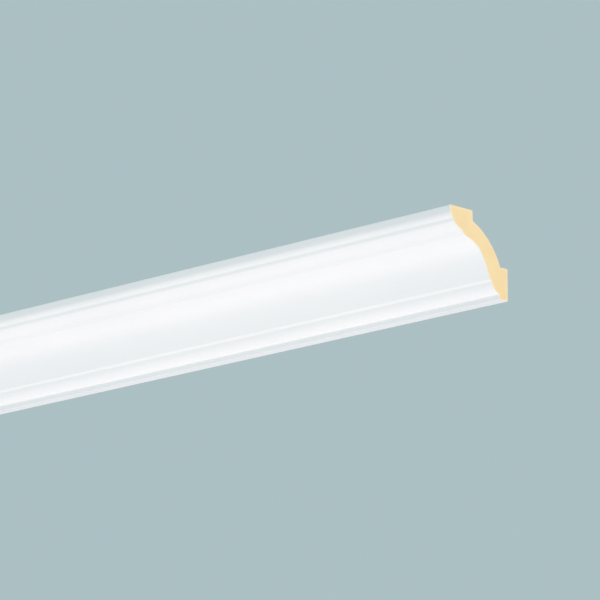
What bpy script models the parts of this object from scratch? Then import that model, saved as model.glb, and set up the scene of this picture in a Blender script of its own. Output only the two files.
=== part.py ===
"""A length of crown moulding, made in one piece of rigid foam for the corner of a ceiling and a wall.

Metres, +Z up. X runs along the moulding, +Y points into the wall and +Z points up into the ceiling.
The origin is the middle of the flat face that lies on the wall.
"""

import math

import bmesh
import bpy

# Overall sizes: how long the piece is, how far it comes out from the wall, how far down it reaches
LENGTH = 1.000
PROJECTION = 0.092
DROP = 0.092

# Members of the face, from the ceiling down. A run goes back towards the wall, a fall goes down.
TOP_FILLET_FALL = 0.0101
TOP_FILLET_RUN = 0.0010
UPPER_SPLAY_FALL = 0.0040
UPPER_SPLAY_RUN = 0.0038
UPPER_QUIRK_FALL = 0.0032
UPPER_QUIRK_RUN = 0.0011
UPPER_OVOLO_FALL = 0.0079
UPPER_OVOLO_RUN = 0.0121
UPPER_OVOLO_SWELL = 0.0009
COVE_LIP_FALL = 0.0044
COVE_LIP_RUN = 0.0041
COVE_TAIL_FALL = 0.0031
COVE_TAIL_RUN = 0.0013
LOWER_SPLAY_FALL = 0.0024
LOWER_SPLAY_RUN = 0.0024
LOWER_QUIRK_FALL = 0.0029
LOWER_QUIRK_RUN = 0.0011
LOWER_OVOLO_FALL = 0.0097
LOWER_OVOLO_RUN = 0.0112
LOWER_OVOLO_SWELL = 0.0016
FOOT_FALL = 0.0058
FOOT_RUN = 0.0003

# The radius to which the fillet's lower arris is rounded
FILLET_NOSE_RADIUS = 0.0104

# The cove takes what is left of the drop, and of the projection less this flat underside
UNDERSIDE_WIDTH = 0.0140

# Angles below the horizontal at which the cove starts and ends, and how tightly it turns between them
COVE_START = math.radians(15.5)
COVE_END = math.radians(66.5)
COVE_SHOULDER = 1.9

# The back: flat lands on the ceiling and the wall, and the hollow between them
CEILING_LAND = 0.0363
WALL_LAND = 0.0363
CEILING_RELIEF = 0.0120
WALL_RELIEF = 0.0120
BACK_RISE = 0.0062

# How finely the curves are stepped
NOSE_STEPS = 6
OVOLO_STEPS = 8
COVE_STEPS = 40
BACK_STEPS = 24

# Faces that meet more sharply than this show an arris
SHARP_ANGLE = math.radians(9.0)


def add(point, run, fall):
    """The point that far back towards the wall and that far down."""
    return (point[0] + run, point[1] - fall)


def arc(start, end, rise, steps):
    """Points after start up to end, on the circle that stands rise off the middle of the chord.

    A rise above 0 bulges to the right of the way from start to end.
    """
    run, lift = end[0] - start[0], end[1] - start[1]
    chord = math.hypot(run, lift)
    radius = chord * chord / (8 * rise) + rise / 2
    half = math.asin(chord / (2 * radius))
    points = []
    for i in range(1, steps + 1):
        turn = half * (2 * i / steps - 1)
        along = (math.sin(turn) + math.sin(half)) * radius / chord
        off = (math.cos(turn) - math.cos(half)) * radius / chord
        points.append((start[0] + along * run + off * lift, start[1] + along * lift - off * run))
    return points


def rounded(before, corner, after, radius, steps):
    """Points of the arc that rounds an outward corner and runs flush into both of its sides."""
    into = math.atan2(corner[1] - before[1], corner[0] - before[0])
    out = math.atan2(after[1] - corner[1], after[0] - corner[0])
    half_turn = (out - into) / 2
    reach = radius * math.tan(half_turn)
    start = (corner[0] - reach * math.cos(into), corner[1] - reach * math.sin(into))
    end = (corner[0] + reach * math.cos(out), corner[1] + reach * math.sin(out))
    return [start] + arc(start, end, radius * (1 - math.cos(half_turn)), steps)


def conic(start, end, start_angle, end_angle, shoulder, steps):
    """Points after start up to end, on the conic with the given angles below the horizontal at its ends.

    The shoulder pulls the curve towards the corner where its two end tangents meet.
    """
    first = (math.cos(start_angle), -math.sin(start_angle))
    last = (math.cos(end_angle), -math.sin(end_angle))
    run, lift = end[0] - start[0], end[1] - start[1]
    reach = (run * last[1] - lift * last[0]) / (first[0] * last[1] - first[1] * last[0])
    corner = (start[0] + reach * first[0], start[1] + reach * first[1])
    points = []
    for i in range(1, steps + 1):
        t = i / steps
        weights = ((1 - t) ** 2, 2 * shoulder * t * (1 - t), t ** 2)
        total = sum(weights)
        points.append(tuple(
            (weights[0] * start[k] + weights[1] * corner[k] + weights[2] * end[k]) / total
            for k in range(2)
        ))
    return points


def face_outline():
    """The front of the section, from its arris on the ceiling to the front of its flat underside."""
    top = (0.0, 0.0)
    fillet_end = add(top, TOP_FILLET_RUN, TOP_FILLET_FALL)
    upper_splay_end = add(fillet_end, UPPER_SPLAY_RUN, UPPER_SPLAY_FALL)
    points = [top] + rounded(top, fillet_end, upper_splay_end, FILLET_NOSE_RADIUS, NOSE_STEPS)
    points.append(upper_splay_end)
    points.append(add(points[-1], UPPER_QUIRK_RUN, UPPER_QUIRK_FALL))
    ovolo_end = add(points[-1], UPPER_OVOLO_RUN, UPPER_OVOLO_FALL)
    points += arc(points[-1], ovolo_end, UPPER_OVOLO_SWELL, OVOLO_STEPS)
    points.append(add(points[-1], COVE_LIP_RUN, COVE_LIP_FALL))

    # Below the cove the members are set out upwards from the underside
    foot = (PROJECTION - UNDERSIDE_WIDTH, -DROP)
    lower_ovolo_end = add(foot, -FOOT_RUN, -FOOT_FALL)
    lower_ovolo_start = add(lower_ovolo_end, -LOWER_OVOLO_RUN, -LOWER_OVOLO_FALL)
    lower_splay_end = add(lower_ovolo_start, -LOWER_QUIRK_RUN, -LOWER_QUIRK_FALL)
    cove_tail_end = add(lower_splay_end, -LOWER_SPLAY_RUN, -LOWER_SPLAY_FALL)
    cove_end = add(cove_tail_end, -COVE_TAIL_RUN, -COVE_TAIL_FALL)

    points += conic(points[-1], cove_end, COVE_START, COVE_END, COVE_SHOULDER, COVE_STEPS)
    points += [cove_tail_end, lower_splay_end, lower_ovolo_start]
    points += arc(lower_ovolo_start, lower_ovolo_end, LOWER_OVOLO_SWELL, OVOLO_STEPS)
    points.append(foot)
    return points


def back_outline():
    """The back of the section, from the foot of the wall land round to the back of the ceiling land."""
    wall_step = (PROJECTION - WALL_RELIEF, WALL_LAND - DROP)
    ceiling_step = (CEILING_LAND, -CEILING_RELIEF)
    points = [(PROJECTION, -DROP), (PROJECTION, WALL_LAND - DROP), wall_step]
    points += arc(wall_step, ceiling_step, BACK_RISE, BACK_STEPS)
    points.append((CEILING_LAND, 0.0))
    return points


def clear_scene():
    for item in list(bpy.data.objects):
        bpy.data.objects.remove(item, do_unlink=True)


def make_material(name, colour, roughness):
    material = bpy.data.materials.new(name)
    material.use_nodes = True
    shader = material.node_tree.nodes["Principled BSDF"]
    shader.inputs["Base Color"].default_value = (*colour, 1.0)
    shader.inputs["Roughness"].default_value = roughness
    shader.inputs["Metallic"].default_value = 0.0
    return material


def white_primer():
    """The factory primer on the face and the back."""
    return make_material("white primer", (0.87, 0.89, 0.90), 0.55)


def foam_core():
    """The cream foam that a square cut lays bare."""
    return make_material("foam core", (0.94, 0.73, 0.42), 0.85)


def crown_moulding():
    """The section drawn at one end, then drawn out along the length."""
    outline = face_outline() + back_outline()
    shape = bmesh.new()
    half = LENGTH / 2
    corners = [
        shape.verts.new((-half, y - PROJECTION, z + DROP - WALL_LAND / 2))
        for y, z in outline
    ]
    end = shape.faces.new(corners)
    drawn = bmesh.ops.extrude_face_region(shape, geom=[end], use_keep_orig=True)
    moved = [item for item in drawn["geom"] if isinstance(item, bmesh.types.BMVert)]
    bmesh.ops.translate(shape, verts=moved, vec=(LENGTH, 0.0, 0.0))
    bmesh.ops.recalc_face_normals(shape, faces=shape.faces)
    for face in shape.faces:
        if abs(face.normal.x) > 0.5:
            face.material_index = 1
    mesh = bpy.data.meshes.new("crown_moulding")
    shape.to_mesh(mesh)
    shape.free()
    mesh.materials.append(white_primer())
    mesh.materials.append(foam_core())
    mesh.shade_smooth()
    mesh.set_sharp_from_angle(angle=SHARP_ANGLE)
    moulding = bpy.data.objects.new("crown_moulding", mesh)
    bpy.context.scene.collection.objects.link(moulding)
    return moulding


clear_scene()
crown_moulding()
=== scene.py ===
"""A length of crown moulding for the corner of a ceiling and a wall, seen from below and from its cut end.

Metres, +Z up. X runs along the moulding, +Y points into the wall, and the origin is the middle of the
face that lies on the wall.
"""

import math

import bmesh
import bpy
import numpy as np
from mathutils import Matrix, Vector


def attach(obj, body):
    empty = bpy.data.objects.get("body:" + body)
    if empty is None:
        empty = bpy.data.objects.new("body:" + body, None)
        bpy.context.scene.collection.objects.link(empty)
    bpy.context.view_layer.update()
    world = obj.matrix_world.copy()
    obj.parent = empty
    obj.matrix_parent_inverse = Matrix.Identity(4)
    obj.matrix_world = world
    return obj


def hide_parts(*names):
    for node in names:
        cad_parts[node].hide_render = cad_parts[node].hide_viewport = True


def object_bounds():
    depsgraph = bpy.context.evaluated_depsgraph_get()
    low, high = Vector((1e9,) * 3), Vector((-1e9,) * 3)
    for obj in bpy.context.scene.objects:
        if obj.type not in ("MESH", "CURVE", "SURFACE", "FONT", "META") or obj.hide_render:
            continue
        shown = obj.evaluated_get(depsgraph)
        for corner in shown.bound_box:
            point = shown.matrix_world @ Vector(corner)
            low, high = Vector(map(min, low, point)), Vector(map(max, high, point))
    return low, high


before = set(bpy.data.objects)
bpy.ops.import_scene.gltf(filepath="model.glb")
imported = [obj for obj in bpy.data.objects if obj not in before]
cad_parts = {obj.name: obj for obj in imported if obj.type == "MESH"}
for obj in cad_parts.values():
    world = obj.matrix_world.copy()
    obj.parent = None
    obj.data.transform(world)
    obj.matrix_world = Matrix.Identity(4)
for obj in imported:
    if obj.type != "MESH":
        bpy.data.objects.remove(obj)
cad_low, cad_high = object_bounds()


# The section of the moulding
# Rigid polyurethane foam, cast in one piece in a long polished mould that gives it all of its members at
# once. The mould's corners are a little round, so every arris of the casting is soft, the fillet's lower
# one most of all.

LENGTH = cad_high.x - cad_low.x
PROJECTION = cad_high.y - cad_low.y
DROP = cad_high.z - cad_low.z

# Straight members of the face, from the ceiling down: how far each goes back towards the wall and how far
# it falls
TOP_FILLET = (0.0010, 0.0101)
UPPER_SPLAY = (0.0038, 0.0040)
UPPER_QUIRK = (0.0011, 0.0032)
COVE_LIP = (0.0041, 0.0044)
COVE_TAIL = (0.0016, 0.0036)
LOWER_SPLAY = (0.0024, 0.0024)
LOWER_QUIRK = (0.0011, 0.0029)
FOOT = (0.0003, 0.0058)
UNDERSIDE_WIDTH = 0.0140

# The two ovolos, and how far each swells beyond its chord
UPPER_OVOLO = (0.0121, 0.0079)
UPPER_OVOLO_SWELL = 0.0009
LOWER_OVOLO = (0.0109, 0.0092)
LOWER_OVOLO_SWELL = 0.0016
OVOLO_STEPS = 8

# The cove between them: its slopes below the horizontal at its two ends, and how tightly it turns
COVE_START = math.radians(15.5)
COVE_END = math.radians(66.5)
COVE_SHOULDER = 1.9
COVE_STEPS = 48

# The hidden back: flat lands on the ceiling and the wall, with a shallow hollow between them
CEILING_LAND = 0.0363
WALL_LAND = 0.0363
CEILING_RELIEF = 0.0120
WALL_RELIEF = 0.0120
BACK_RISE = 0.0062
BACK_STEPS = 36

# Radii of the arrises, and how many points each takes
CRISP = 0.0004
SOFT = 0.0009
MOULDED = 0.0014
FULL = 0.0024
HOLLOW = 0.0032
NOSE = 0.0104
ARRIS_STEPS = 9

# No side of the outline is longer than this
OUTLINE_STEP = 0.0016


def down(*members):
    """The points reached by going down the members one after another: the running sum of their ways."""
    return np.cumsum(members, axis=0) * (1, -1)


def arc(start, end, rise, steps):
    """Points after start up to end on a circle.

    The circle stands off the middle of the chord by the rise, on the right of the way. Its radius is the
    chord squared over eight rises, plus half a rise, and the points are set out by equal turns about its
    centre.
    """
    chord = np.subtract(end, start)
    length = np.hypot(*chord)
    radius = length ** 2 / (8 * rise) + rise / 2
    half = np.arcsin(length / (2 * radius))
    turn = half * np.linspace(-1, 1, steps + 1)[1:, None]
    along = (np.sin(turn) + np.sin(half)) * radius / length
    off = (np.cos(turn) - np.cos(half)) * radius / length
    return start + along * chord + off * np.array((chord[1], -chord[0]))


def conic(start, end, start_slope, end_slope, shoulder, steps):
    """Points after start up to end on the conic that has the given slopes below the horizontal at its ends.

    Each point is the mean of the start, the corner where the end tangents meet, and the end, weighted by
    (1 - t) squared, 2 t (1 - t) times the shoulder, and t squared.
    """
    first = np.array((np.cos(start_slope), -np.sin(start_slope)))
    last = np.array((np.cos(end_slope), -np.sin(end_slope)))
    chord = np.subtract(end, start)
    reach = (chord[0] * last[1] - chord[1] * last[0]) / (first[0] * last[1] - first[1] * last[0])
    corner = start + reach * first
    t = np.linspace(0, 1, steps + 1)[1:, None]
    weights = np.hstack(((1 - t) ** 2, 2 * shoulder * t * (1 - t), t ** 2))
    return weights @ np.array((start, corner, end)) / weights.sum(1, keepdims=True)


def sharp_section():
    """Corners of the section before they are softened, and the radius that each one gets.

    They go down the face from its arris on the ceiling, along the underside, up the back and over the
    ceiling land.
    """
    upper = down((0, 0), TOP_FILLET, UPPER_SPLAY, UPPER_QUIRK)
    upper_ovolo_end = upper[-1] + (UPPER_OVOLO[0], -UPPER_OVOLO[1])
    upper_ovolo = arc(upper[-1], upper_ovolo_end, UPPER_OVOLO_SWELL, OVOLO_STEPS)
    lip = upper_ovolo[-1] + (COVE_LIP[0], -COVE_LIP[1])

    # Below the cove the members are set out upwards from the underside
    foot = np.array((PROJECTION - UNDERSIDE_WIDTH, -DROP))
    cove_end = foot - down(COVE_TAIL, LOWER_SPLAY, LOWER_QUIRK, LOWER_OVOLO, FOOT)[-1]
    cove = conic(lip, cove_end, COVE_START, COVE_END, COVE_SHOULDER, COVE_STEPS)
    lower = cove_end + down(COVE_TAIL, LOWER_SPLAY, LOWER_QUIRK)
    lower_ovolo = arc(lower[-1], foot - (FOOT[0], -FOOT[1]), LOWER_OVOLO_SWELL, OVOLO_STEPS)

    wall_step = (PROJECTION - WALL_RELIEF, WALL_LAND - DROP)
    ceiling_step = (CEILING_LAND, -CEILING_RELIEF)
    back = arc(wall_step, ceiling_step, BACK_RISE, BACK_STEPS)
    runs = (
        (upper, (SOFT, NOSE, FULL, HOLLOW)),
        (upper_ovolo, (0,) * (OVOLO_STEPS - 1) + (CRISP,)),
        ([lip], (MOULDED,)),
        (cove, (0,) * (COVE_STEPS - 1) + (MOULDED,)),
        (lower, (MOULDED, MOULDED, MOULDED)),
        (lower_ovolo, (0,) * (OVOLO_STEPS - 1) + (MOULDED,)),
        ([foot], (CRISP,)),
        ([(PROJECTION, -DROP), (PROJECTION, WALL_LAND - DROP), wall_step], (SOFT, SOFT, SOFT)),
        (back, (0,) * (BACK_STEPS - 1) + (SOFT,)),
        ([(CEILING_LAND, 0.0)], (SOFT,)),
    )
    return np.vstack([points for points, _ in runs]), np.concatenate([radii for _, radii in runs])


def directions(outline):
    """Unit vectors along the sides that come into and go out of each corner of a closed outline."""
    out = np.roll(outline, -1, axis=0) - outline
    out = out / np.linalg.norm(out, axis=1, keepdims=True)
    return np.roll(out, 1, axis=0), out


def turned_side(into, out):
    """The sine of the turn from one direction to the next, above 0 where it goes to the left."""
    return into[:, 0] * out[:, 1] - into[:, 1] * out[:, 0]


def set_in(corners, depth):
    """The outline moved into the solid by a depth.

    Each corner goes in along its mitre, so that every side moves by the depth.
    """
    into, out = directions(corners)
    into, out = into[:, ::-1] * (1, -1), out[:, ::-1] * (1, -1)
    mitre = (into + out) / (1 + np.sum(into * out, axis=1, keepdims=True))
    return corners - depth * mitre


def soften(corners, radii):
    """Every corner that has a radius becomes an arc that touches both of its sides.

    The arc starts one reach before the corner, the radius times the tangent of half the turn, and from
    there goes forward by the radius times the sine, and aside by the radius times one less the cosine, of
    the angle turned.
    """
    into, out = directions(corners)
    turn = np.arctan2(turned_side(into, out), np.sum(into * out, axis=1))
    count = np.where(radii > 0, ARRIS_STEPS, 1)
    which = np.repeat(np.arange(len(corners)), count)
    step = np.arange(len(which)) - np.repeat(np.cumsum(count) - count, count)
    turned = turn[which] * step / np.maximum(count[which] - 1, 1)
    reach = radii * np.tan(np.abs(turn) / 2)
    start = corners[which] - reach[which, None] * into[which]
    left = into[:, ::-1] * (-1, 1)
    forward = np.sin(np.abs(turned))[:, None] * into[which]
    aside = (np.sign(turn[which]) * (1 - np.cos(turned)))[:, None] * left[which]
    return start + radii[which, None] * (forward + aside)


corners, radii = sharp_section()
soft_outline = soften(corners, radii)
side_lengths = np.linalg.norm(np.roll(soft_outline, -1, axis=0) - soft_outline, axis=1)
side_parts = np.ceil(side_lengths / OUTLINE_STEP).astype(int)
side_of = np.repeat(np.arange(len(side_parts)), side_parts)
first_of_side = np.repeat(np.cumsum(side_parts) - side_parts, side_parts)
share_of_side = (np.arange(len(side_of)) - first_of_side) / side_parts[side_of]


def outline_at(depth):
    """The softened outline at a depth inside the solid, with long sides parted evenly, as points (y, z)."""
    outline = soften(set_in(corners, depth), radii)
    nexts = np.roll(outline, -1, axis=0)
    return outline[side_of] + share_of_side[:, None] * (nexts - outline)[side_of]


# The moulded length
# The section carried along the length and sawn square at both ends. The casting keeps the slight
# unevenness of its long mould, a few hundredths of a millimetre deep. The saw leaves a hair of a broken
# edge all round the cut.

STATIONS = 121
SAWN_EDGE = 0.00012
SKIN_DEPTHS = (0.0003, 0.0007, 0.0012, 0.0018, 0.0026)

# The unevenness: how deep it goes, how far from an end it dies out, and its waves, each given by its
# length along the moulding, its length round the section and where it starts
UNEVENNESS = 0.00007
FADE = 0.03
WAVES = ((0.31, 0.23, 0.0), (0.173, -0.31, 1.3), (0.083, 0.152, 2.1))


def unevenness(x, girth):
    """How deep the surface lies below the true section, at a place along the length and a girth round it.

    The sum of the sines of the waves, which cross each other, brought to go from nought to the full
    depth, and dying out at the two ends.
    """
    waves = sum(np.sin(2 * np.pi * (x / along + girth / around) + start) for along, around, start in WAVES)
    ends = np.clip((LENGTH / 2 - np.abs(x)) / FADE, 0, 1)
    return UNEVENNESS * (0.5 + waves / (2 * len(WAVES))) * ends


outline = outline_at(0)
points_round = len(outline)
girth = np.concatenate(((0,), np.cumsum(np.linalg.norm(np.diff(outline, axis=0), axis=1))))

# Rings from the middle of the left end out to its edge, along the length, and in again on the right end
end_depths = (*SKIN_DEPTHS[::-1], SAWN_EDGE)
end_rings = np.arange(len(end_depths))
along = np.linspace(-LENGTH / 2 + SAWN_EDGE, LENGTH / 2 - SAWN_EDGE, STATIONS)
at_end = np.full(len(end_depths), LENGTH / 2)
ring_x = np.concatenate((-at_end, along, at_end))
ring_depth = np.concatenate((end_depths, np.zeros(STATIONS), end_depths[::-1]))
rings = np.stack([outline_at(depth) for depth in (*end_depths, 0)])
ring_outline = rings[np.concatenate((end_rings, np.full(STATIONS, len(end_depths)), end_rings[::-1]))]

into_side, out_side = directions(outline)
outward = (into_side + out_side)[:, ::-1] * (1, -1)
outward = outward / np.linalg.norm(outward, axis=1, keepdims=True)
low_by = unevenness(ring_x[:, None], girth[None, :])
section_place = ring_outline - low_by[..., None] * outward
places = np.empty((len(ring_x), points_round, 3))
places[..., 0] = ring_x[:, None]
places[..., 1] = section_place[..., 0] + cad_low.y
places[..., 2] = section_place[..., 1] + cad_high.z

# Quads between each ring and the next, and one face across the middle of each end
ring, point = np.meshgrid(np.arange(len(ring_x) - 1), np.arange(points_round), indexing="ij")
here = ring * points_round + point
beside = ring * points_round + (point + 1) % points_round
quads = np.stack((here, beside, beside + points_round, here + points_round), axis=-1).reshape(-1, 4)
last_ring = (len(ring_x) - 1) * points_round + np.arange(points_round)
ends = [np.arange(points_round)[::-1].tolist(), last_ring.tolist()]

moulding_mesh = bpy.data.meshes.new("moulded_length")
moulding_mesh.from_pydata(places.reshape(-1, 3).tolist(), [], quads.tolist() + ends)

# Which finish each face has: the primer, the bare foam skin at the back, or the sawn foam
PRIMED, SKINNED, SAWN = 0, 1, 2
foot_back = girth[np.argmin(np.linalg.norm(outline - (PROJECTION, -DROP), axis=1))]
finish_round = np.where(girth < foot_back, PRIMED, SKINNED)
finish = np.broadcast_to(finish_round, ring.shape).copy()
finish[:len(end_depths) - 1] = SAWN
finish[-(len(end_depths) - 1):] = SAWN
finish = np.append(finish.ravel(), (SAWN, SAWN))
moulding_mesh.polygons.foreach_set("material_index", finish.astype(np.int32))


def carry(name, values):
    """Gives the mesh a value at each of its points, under a name that a material can read."""
    carried = moulding_mesh.attributes.new(name, "FLOAT", "POINT")
    carried.data.foreach_set("value", np.asarray(values, np.float32))


# How deep each point of an end lies below the moulded surface, in millimetres
MILLIMETRES = 1000
carry("depth_below_skin", np.repeat(ring_depth * MILLIMETRES, points_round))

# Where the primer was sprayed: 1 all along the face and the underside, 0 on the back
carry("primed", np.tile(girth <= foot_back, len(ring_x)))

# How near each point is to an arris: 1 on one that stands out, -1 on one that goes in, 0 away from them
ARRIS_REACH = 0.0012
corner_turn = turned_side(*directions(corners))
edged = radii > 0
reach = np.linalg.norm(outline[:, None] - corners[None, edged], axis=2)
nearest = np.argmin(reach, axis=1)
nearness = np.exp(-(reach.min(axis=1) / ARRIS_REACH) ** 2) * np.sign(corner_turn[edged][nearest])
carry("arris", np.tile(nearness, len(ring_x)))

# The two end faces are parted into triangles, and faces that meet more sharply than this show an arris
SHARP_ANGLE = math.radians(30.0)
shape = bmesh.new()
shape.from_mesh(moulding_mesh)
bmesh.ops.triangulate(shape, faces=[face for face in shape.faces if len(face.verts) > 4])
shape.to_mesh(moulding_mesh)
shape.free()
moulding_mesh.shade_smooth()
moulding_mesh.set_sharp_from_angle(angle=SHARP_ANGLE)

moulded_length = bpy.data.objects.new("moulded_length", moulding_mesh)
bpy.context.scene.collection.objects.link(moulded_length)


# The primer
# Two thin coats of white water-based primer, sprayed on the face and the underside at the works. It is a
# soft satin with the faint peel of a sprayed coat, thinner on the arrises. The quirks are greyed a little
# as painted shade.

# Most values of cloudy noise lie between these
CLOUDY = (0.3, 0.7)

# Where the colour node keeps its two colours and the blended one
FIRST_COLOUR, SECOND_COLOUR, BLENDED = 6, 7, 2


def add_node(tree, kind, settings=None, inputs=None):
    """A node of one kind in a material, its inputs set to values or joined to other nodes' sockets."""
    made = tree.nodes.new(kind)
    for name, value in (settings or {}).items():
        setattr(made, name, value)
    for name, value in (inputs or {}).items():
        if isinstance(value, bpy.types.NodeSocket):
            tree.links.new(value, made.inputs[name])
        else:
            made.inputs[name].default_value = value
    return made


def noise(tree, place, scale, detail=2.0, roughness=0.5):
    """A value of cloudy noise from 0 to 1, with so many clouds to the metre."""
    inputs = {"Vector": place, "Scale": scale, "Detail": detail, "Roughness": roughness}
    return add_node(tree, "ShaderNodeTexNoise", None, inputs).outputs["Fac"]


def from_cell_middle(tree, place, scale):
    """How far a place is from the middle of its cell, in scattered cells with so many to the metre."""
    inputs = {"Vector": place, "Scale": scale, "Randomness": 1.0}
    return add_node(tree, "ShaderNodeTexVoronoi", None, inputs).outputs["Distance"]


def stretch(tree, place, scale):
    """Places drawn together or apart along the three axes."""
    return add_node(tree, "ShaderNodeMapping", None, {"Vector": place, "Scale": scale}).outputs["Vector"]


def ramp(tree, value, span, low=0.0, high=1.0):
    """A value brought smoothly from low to high while it goes through the span."""
    inputs = {"Value": value, "From Min": span[0], "From Max": span[1], "To Min": low, "To Max": high}
    smooth = {"interpolation_type": "SMOOTHSTEP"}
    return add_node(tree, "ShaderNodeMapRange", smooth, inputs).outputs["Result"]


def reckon(tree, operation, first, second):
    """Two values put together by one operation of arithmetic."""
    made = add_node(tree, "ShaderNodeMath", {"operation": operation}, {0: first, 1: second})
    return made.outputs["Value"]


def blend(tree, share, first, second):
    """A colour that goes from the first to the second as the share goes from 0 to 1."""
    inputs = {"Factor": share}
    for socket, colour in ((FIRST_COLOUR, first), (SECOND_COLOUR, second)):
        inputs[socket] = colour if isinstance(colour, bpy.types.NodeSocket) else (*colour, 1.0)
    return add_node(tree, "ShaderNodeMix", {"data_type": "RGBA"}, inputs).outputs[BLENDED]


def bump(tree, height, strength, distance, under=None):
    """A surface roughened by a height, on top of another roughness if there is one."""
    inputs = {"Height": height, "Strength": strength, "Distance": distance}
    if under is not None:
        inputs["Normal"] = under
    return add_node(tree, "ShaderNodeBump", None, inputs).outputs["Normal"]


def new_material(name):
    """An empty material with its shader, and the places of its object to lay a pattern out by."""
    made = bpy.data.materials.new(name)
    made.use_nodes = True
    tree = made.node_tree
    place = tree.nodes.new("ShaderNodeTexCoord").outputs["Object"]
    return made, tree, tree.nodes["Principled BSDF"].inputs, place


def mark(tree, name):
    """The value that the mesh carries under a name."""
    return add_node(tree, "ShaderNodeAttribute", {"attribute_name": name}).outputs["Fac"]


# Its colours: two whites that drift into each other, the shade of its grain, the foam that glows through
# where the coat is thin, and a grey that paints shade into the quirks
PRIMER_WHITES = ((0.856, 0.877, 0.890), (0.880, 0.899, 0.908))
PRIMER_GRAIN = (0.845, 0.868, 0.880)
PRIMER_THIN = (0.93, 0.80, 0.58)
PRIMER_PAINTED_QUIRK_SHADE = (0.72, 0.76, 0.78)

# How much of each of the last three shows where it is strongest
GRAIN_SHARE = 0.35
THIN_SHARE = 0.06
QUIRK_SHADE_SHARE = 0.05

# How many of each to the metre, and how deep each goes
PRIMER_CLOUDS = 14.0
PRIMER_GRAINS = 900.0
THIN_PLACES = 160.0
SHEEN_PATCHES = 45.0
PEEL_DIMPLES = 420.0
DUST_NIBS = 95.0
PEEL_DEPTH = 0.00009
NIB_HEIGHT = 0.00012
GRAIN_DEPTH = 0.00002

primer, tree, shader, place = new_material("white_primer")
cloud = noise(tree, stretch(tree, place, scale=(0.35, 1.0, 1.0)), PRIMER_CLOUDS, detail=3.0)
grain = noise(tree, place, PRIMER_GRAINS, detail=3.0, roughness=0.6)
colour = blend(tree, ramp(tree, cloud, CLOUDY), *PRIMER_WHITES)
colour = blend(tree, ramp(tree, grain, span=(0.35, 0.75), high=GRAIN_SHARE), colour, PRIMER_GRAIN)
on_arris = ramp(tree, mark(tree, "arris"), span=(0.35, 1.0))
thin = reckon(tree, "MULTIPLY", on_arris, ramp(tree, noise(tree, place, THIN_PLACES), span=(0.5, 0.72)))
colour = blend(tree, reckon(tree, "MULTIPLY", thin, THIN_SHARE), colour, PRIMER_THIN)
# Painted shade: the quirks, which go in, are greyed a little as if shade lay in them
painted_quirk_shade = ramp(tree, mark(tree, "arris"), span=(-0.35, -1.0), high=QUIRK_SHADE_SHARE)
colour = blend(tree, painted_quirk_shade, colour, PRIMER_PAINTED_QUIRK_SHADE)
tree.links.new(colour, shader["Base Color"])
sheen = ramp(tree, noise(tree, place, SHEEN_PATCHES, detail=3.0), CLOUDY, low=0.50, high=0.62)
tree.links.new(sheen, shader["Roughness"])
peel = noise(tree, stretch(tree, place, scale=(0.8, 1.0, 1.0)), PEEL_DIMPLES)
nibs = ramp(tree, from_cell_middle(tree, place, DUST_NIBS), span=(0.05, 0.0))
roughened = bump(tree, peel, strength=0.40, distance=PEEL_DEPTH)
roughened = bump(tree, nibs, strength=0.60, distance=NIB_HEIGHT, under=roughened)
roughened = bump(tree, grain, strength=0.25, distance=GRAIN_DEPTH, under=roughened)
tree.links.new(roughened, shader["Normal"])
shader["Specular IOR Level"].default_value = 0.35


# The bare foam skin
# Where the casting lay against the lid of its mould it has a dull tan skin, with pinholes where bubbles
# reached it. It isn't painted: only a mist of primer has drifted over from the face, along the two outer
# edges.

SKIN_TANS = ((0.82, 0.66, 0.43), (0.88, 0.75, 0.53))
PINHOLE_BROWN = (0.54, 0.39, 0.21)
PINHOLE_SHARE = 0.55
MIST_WHITE = (0.87, 0.88, 0.88)

# How many of each to the metre, how deep each goes, and how fast the mist thins out with each metre from
# the edge
SKIN_CLOUDS = 22.0
BUBBLES = 260.0
BUBBLE_SWARMS = 30.0
MIST_DRIFTS = 70.0
MIST_DROPLETS = 1500.0
SKIN_ORANGE_PEEL = 260.0
SKIN_PEEL_DEPTH = 0.00012
PINHOLE_DEPTH = 0.0003
MIST_FALL = 90.0

foam_skin, tree, shader, place = new_material("foam_skin")
cloud = noise(tree, stretch(tree, place, scale=(0.5, 1.0, 1.0)), SKIN_CLOUDS, detail=4.0, roughness=0.6)
colour = blend(tree, ramp(tree, cloud, CLOUDY), *SKIN_TANS)
hole_size = ramp(tree, noise(tree, place, BUBBLE_SWARMS), span=(0.45, 0.65), low=0.02, high=0.16)
pinholes = reckon(tree, "LESS_THAN", from_cell_middle(tree, place, BUBBLES), hole_size)
colour = blend(tree, reckon(tree, "MULTIPLY", pinholes, PINHOLE_SHARE), colour, PINHOLE_BROWN)
split = add_node(tree, "ShaderNodeSeparateXYZ", None, {"Vector": place})
from_front = reckon(tree, "SUBTRACT", split.outputs["Y"], cad_low.y)
from_foot = reckon(tree, "SUBTRACT", split.outputs["Z"], cad_low.z)
from_edge = reckon(tree, "MINIMUM", from_front, from_foot)
drifts = noise(tree, place, MIST_DRIFTS, detail=4.0, roughness=0.7)
drift = reckon(tree, "SUBTRACT", drifts, reckon(tree, "MULTIPLY", from_edge, MIST_FALL))
droplets = ramp(tree, noise(tree, place, MIST_DROPLETS), span=(0.42, 0.58))
droplets = reckon(tree, "MAXIMUM", droplets, ramp(tree, drift, span=(0.1, 0.4)))
mist = reckon(tree, "MULTIPLY", ramp(tree, drift, span=(-0.35, 0.45)), droplets)
colour = blend(tree, mist, colour, MIST_WHITE)
tree.links.new(colour, shader["Base Color"])
tree.links.new(ramp(tree, cloud, CLOUDY, low=0.62, high=0.78), shader["Roughness"])
skin_peel = noise(tree, place, SKIN_ORANGE_PEEL, detail=3.0)
roughened = bump(tree, skin_peel, strength=0.35, distance=SKIN_PEEL_DEPTH)
unholed = reckon(tree, "SUBTRACT", 1.0, pinholes)
roughened = bump(tree, unholed, strength=0.5, distance=PINHOLE_DEPTH, under=roughened)
tree.links.new(roughened, shader["Normal"])
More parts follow.
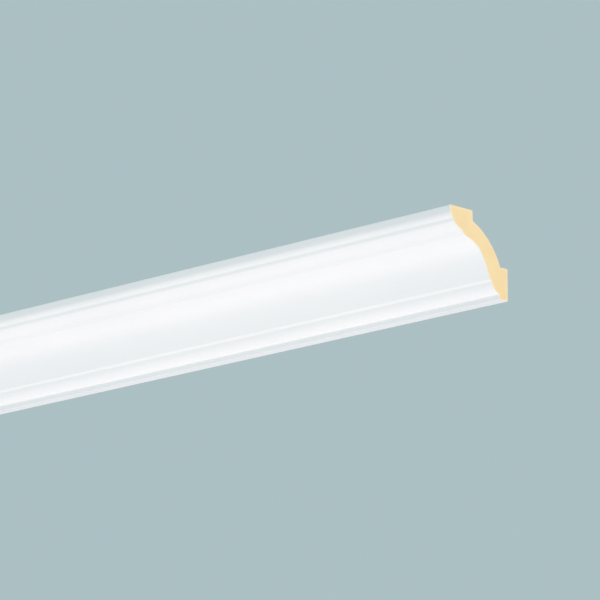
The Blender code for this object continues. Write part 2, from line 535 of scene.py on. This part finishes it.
shader["Specular IOR Level"].default_value = 0.3


# The sawn foam
# The cream inside of the casting at its two ends: fine closed cells, packed closer and paler towards the
# skin, with the shallow even marks of the saw, and the film of primer as a thin ragged white line along
# the face.

FOAM_CREAMS = ((0.925, 0.712, 0.402), (0.950, 0.745, 0.438))
CELL_AMBER = (0.84, 0.61, 0.31)
VOID_BROWN = (0.70, 0.47, 0.22)
VOID_SHARE = 0.35
DENSE_CREAM = (0.98, 0.84, 0.60)
DENSE_SHARE = 0.35
FILM_WHITE = (0.87, 0.89, 0.90)

# How many of each to the metre, and how deep each goes
FOAM_CLOUDS = 55.0
FINE_CELLS = 2300.0
LARGE_CELLS = 420.0
EDGE_RAGS = 120.0
SAW_MARKS = 260.0
SAW_DEPTH = 0.00005
CELL_DEPTH = 0.00006
VOID_DEPTH = 0.0003

# Depths below the skin in millimetres: where the large cells begin, where the dense foam starts and ends,
# how far in the film of primer reaches, how far these lines wander, and the film's share of that
OPEN_FOAM = (1.0, 2.2)
DENSE_FROM = (0.9, 1.6)
DENSE_TO = (2.4, 1.9)
FILM_EDGE = (0.30, 0.20)
WANDER = 0.5
FILM_WANDER = 0.5

sawn_foam, tree, shader, place = new_material("sawn_foam")
depth = mark(tree, "depth_below_skin")
colour = blend(tree, ramp(tree, noise(tree, place, FOAM_CLOUDS, detail=3.0), CLOUDY), *FOAM_CREAMS)
cell = ramp(tree, from_cell_middle(tree, place, FINE_CELLS), span=(0.15, 0.75))
inner = ramp(tree, depth, OPEN_FOAM)
cell_shade = reckon(tree, "MULTIPLY", cell, ramp(tree, inner, span=(0.0, 1.0), low=0.05, high=0.22))
colour = blend(tree, cell_shade, colour, CELL_AMBER)
void = ramp(tree, from_cell_middle(tree, place, LARGE_CELLS), span=(0.13, 0.04))
void = reckon(tree, "MULTIPLY", void, inner)
colour = blend(tree, reckon(tree, "MULTIPLY", void, VOID_SHARE), colour, VOID_BROWN)
ragged = reckon(tree, "SUBTRACT", noise(tree, place, EDGE_RAGS), 0.5)
wander = reckon(tree, "MULTIPLY", ragged, WANDER)
skin = reckon(tree, "ADD", depth, wander)
dense = reckon(tree, "MULTIPLY", ramp(tree, skin, DENSE_FROM), ramp(tree, skin, DENSE_TO))
colour = blend(tree, reckon(tree, "MULTIPLY", dense, DENSE_SHARE), colour, DENSE_CREAM)
film = ramp(tree, reckon(tree, "ADD", depth, reckon(tree, "MULTIPLY", wander, FILM_WANDER)), FILM_EDGE)
colour = blend(tree, reckon(tree, "MULTIPLY", film, mark(tree, "primed")), colour, FILM_WHITE)
tree.links.new(colour, shader["Base Color"])
tree.links.new(ramp(tree, cell, span=(0.0, 1.0), low=0.80, high=0.92), shader["Roughness"])
saw = add_node(
    tree, "ShaderNodeTexWave", {"bands_direction": "Z"},
    {"Vector": place, "Scale": SAW_MARKS, "Distortion": 1.6, "Detail": 2.0, "Detail Scale": 0.4},
)
roughened = bump(tree, saw.outputs["Fac"], strength=0.20, distance=SAW_DEPTH)
roughened = bump(tree, cell, strength=0.35, distance=CELL_DEPTH, under=roughened)
roughened = bump(tree, void, strength=0.40, distance=-VOID_DEPTH, under=roughened)
tree.links.new(roughened, shader["Normal"])
shader["Specular IOR Level"].default_value = 0.25

# In the order of the numbers that the faces carry
for finish_of_length in (primer, foam_skin, sawn_foam):
    moulding_mesh.materials.append(finish_of_length)
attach(moulded_length, "root")
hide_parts("crown_moulding")


# The floor
# A plain pale studio floor, so far below that the moulding can be looked up at from any side.

FLOOR_DROP = 9.0
FLOOR_WIDTH = 90.0
FLOOR_PALES = ((0.86, 0.88, 0.88), (0.90, 0.92, 0.92))
FLOOR_CLOUDS = 1.5

floor_mesh = bpy.data.meshes.new("studio_floor")
floor_corners = np.array(((-1, -1, 0), (1, -1, 0), (1, 1, 0), (-1, 1, 0))) * FLOOR_WIDTH / 2
floor_corners[:, 2] = cad_high.z - FLOOR_DROP
floor_mesh.from_pydata(floor_corners.tolist(), [], [(0, 1, 2, 3)])
studio_floor = bpy.data.objects.new("studio_floor", floor_mesh)
bpy.context.scene.collection.objects.link(studio_floor)
pale_floor, tree, shader, place = new_material("pale_floor")
colour = blend(tree, noise(tree, place, FLOOR_CLOUDS, detail=3.0), *FLOOR_PALES)
tree.links.new(colour, shader["Base Color"])
shader["Roughness"].default_value = 0.8
floor_mesh.materials.append(pale_floor)


# The light
# A pale studio all round, with a long soft lamp in front and one below, as a bright room lights a
# ceiling, a soft lamp facing each end, and one above and behind for the side that lies on the wall and
# the ceiling.

STUDIO_COLOUR = (0.412, 0.528, 0.553)
aim = Vector((0.0, (cad_low.y + cad_high.y) / 2, (cad_low.z + cad_high.z) / 2))

world = bpy.data.worlds.new("studio")
world.use_nodes = True
world.node_tree.nodes["Background"].inputs["Color"].default_value = (*STUDIO_COLOUR, 1.0)
bpy.context.scene.world = world


def soft_lamp(name, direction, distance, size, watts, colour):
    """A rectangular lamp that stands in a direction from the moulding and shines back at it."""
    light = bpy.data.lights.new(name, "AREA")
    light.shape = "RECTANGLE"
    light.size, light.size_y = size
    light.energy = watts
    light.color = colour
    lamp = bpy.data.objects.new(name, light)
    away = Vector(direction).normalized()
    lamp.location = aim + away * distance
    lamp.rotation_euler = (-away).to_track_quat("-Z", "Y").to_euler()
    lamp.visible_camera = False
    bpy.context.scene.collection.objects.link(lamp)


soft_lamp(
    "front_lamp", direction=(0.0, -0.87, -0.49), distance=2.0, size=(6.0, 1.2),
    watts=30.2, colour=(1.0, 0.849, 0.803),
)
soft_lamp(
    "low_lamp", direction=(0.0, 0.0, -1.0), distance=2.0, size=(6.0, 1.2),
    watts=35.3, colour=(1.0, 0.779, 0.789),
)
for end_lamp, end_way in (("right_end_lamp", 1.0), ("left_end_lamp", -1.0)):
    soft_lamp(
        end_lamp, direction=(end_way, 0.0, 0.0), distance=3.0, size=(1.0, 1.0),
        watts=25.9, colour=(1.0, 0.849, 0.779),
    )
soft_lamp(
    "back_lamp", direction=(0.0, 0.76, 0.65), distance=2.5, size=(4.0, 1.2),
    watts=42.0, colour=(1.0, 0.86, 0.76),
)
bpy.context.scene.view_settings.view_transform = "Standard"


# The camera
# A long lens below the moulding and to its right, turned until the front top corner of the cut end falls
# where it should in the picture, with the near end showing and the far end running out of the left side.

LENS = 271.8
SENSOR = 36.0
HEADING = math.radians(44.34)
PITCH = math.radians(13.78)

# Where that corner is: how far from the lens, and how far right and up in the picture, in widths of the
# picture
CORNER_DISTANCE = 4.885
CORNER_RIGHT = 0.25005
CORNER_UP = 0.15960

right = Vector((math.cos(HEADING), math.sin(HEADING), 0.0))
look = Vector((
    -math.sin(HEADING) * math.cos(PITCH), math.cos(HEADING) * math.cos(PITCH), math.sin(PITCH)
))
up = right.cross(look)
towards_corner = right * CORNER_RIGHT + up * CORNER_UP + look * (LENS / SENSOR)
corner = Vector((cad_high.x, cad_low.y, cad_high.z))
lens = bpy.data.cameras.new("camera")
lens.lens = LENS
lens.sensor_width = SENSOR
camera = bpy.data.objects.new("camera", lens)
turned = Matrix((right, up, -look)).transposed().to_4x4()
camera.matrix_world = Matrix.Translation(corner - towards_corner.normalized() * CORNER_DISTANCE) @ turned
bpy.context.scene.collection.objects.link(camera)
bpy.context.scene.camera = camera
